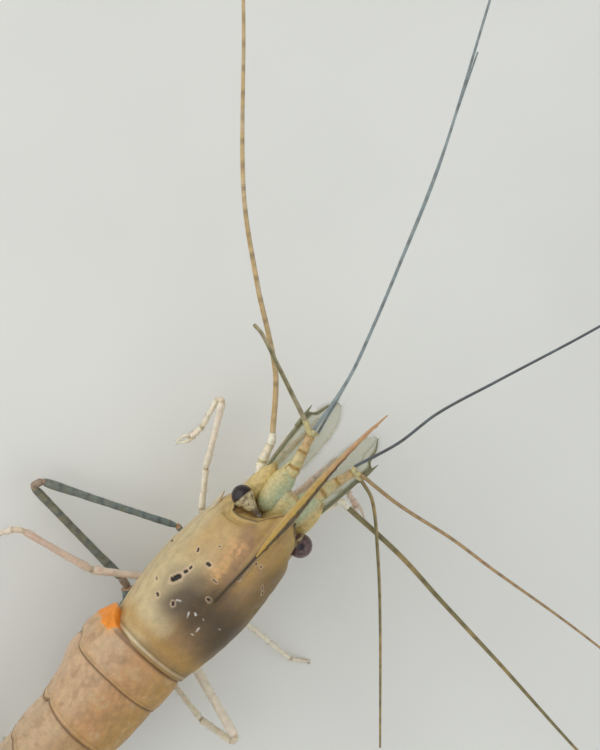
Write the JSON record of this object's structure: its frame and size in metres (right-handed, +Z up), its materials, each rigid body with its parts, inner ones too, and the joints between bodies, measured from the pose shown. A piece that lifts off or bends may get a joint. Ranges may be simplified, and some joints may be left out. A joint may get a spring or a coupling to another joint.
{
  "type": "giant river prawn",
  "caption": "Life-size giant river prawn standing on its walking legs, with a toothed rostrum, stalked eyes, long ringed feelers, folded claw legs and a spread tail fan.",
  "frame": {"origin": "on the floor, under the middle of the box that holds the whole prawn with its feelers", "axes": "+X the way the prawn looks, +Y to its left, +Z up"},
  "size_m": [0.3836, 0.3534, 0.0663],
  "materials": {
    "shell": "satin, translucent brown",
    "rostrum": "satin, golden tan",
    "abdomen": "satin, salmon tan",
    "tail": "satin, olive tan",
    "head": "satin, cream mottled with brown",
    "eye": "polished, purple brown",
    "stalk": "matt, mottled grey brown",
    "scale": "clear blue grey",
    "feeler": "matt, ringed olive and tan",
    "leg": "satin, ivory white",
    "claw": "matt, speckled blue grey"
  },
  "bodies": {
    "root": {"carapace": "shell", "rostrum": "rostrum", "head": "head", "somite_1": "abdomen", "somite_2": "abdomen", "somite_3": "abdomen", "somite_4": "abdomen", "somite_5": "abdomen", "somite_6": "abdomen", "telson": "tail", "uropod_inner_left": "tail", "uropod_outer_left": "tail", "eyestalk_left": "stalk", "cornea_left": "eye", "antennal_scale_left": "scale", "antennule_stem_left": "head", "antenna_stem_left": "head", "palp_left": "leg", "uropod_inner_right": "tail", "uropod_outer_right": "tail", "eyestalk_right": "stalk", "cornea_right": "eye", "antennal_scale_right": "scale", "antennule_stem_right": "head", "antenna_stem_right": "head", "palp_right": "leg", "antennule_left_short": "feeler", "antennule_left_outer": "feeler", "antennule_left_inner": "feeler", "antenna_left": "feeler", "antennule_right_short": "feeler", "antennule_right_outer": "feeler", "antennule_right_inner": "feeler", "antenna_right": "feeler", "leg_1_left_upper": "leg", "leg_1_left_lower": "leg", "leg_1_right_upper": "leg", "leg_1_right_lower": "leg", "leg_3_left_upper": "leg", "leg_3_left_lower": "leg", "leg_3_right_upper": "leg", "leg_3_right_lower": "leg", "leg_4_left_upper": "leg", "leg_4_left_lower": "leg", "leg_4_right_upper": "leg", "leg_4_right_lower": "leg", "leg_5_left_upper": "leg", "leg_5_left_lower": "leg", "leg_5_right_upper": "leg", "leg_5_right_lower": "leg", "claw_leg_left_arm": "claw", "claw_leg_left_forearm": "claw", "claw_leg_left_palm": "claw", "claw_leg_left_finger": "claw", "claw_leg_right_arm": "claw", "claw_leg_right_forearm": "claw", "claw_leg_right_palm": "claw", "claw_leg_right_finger": "claw"}
  },
  "joints": []
}
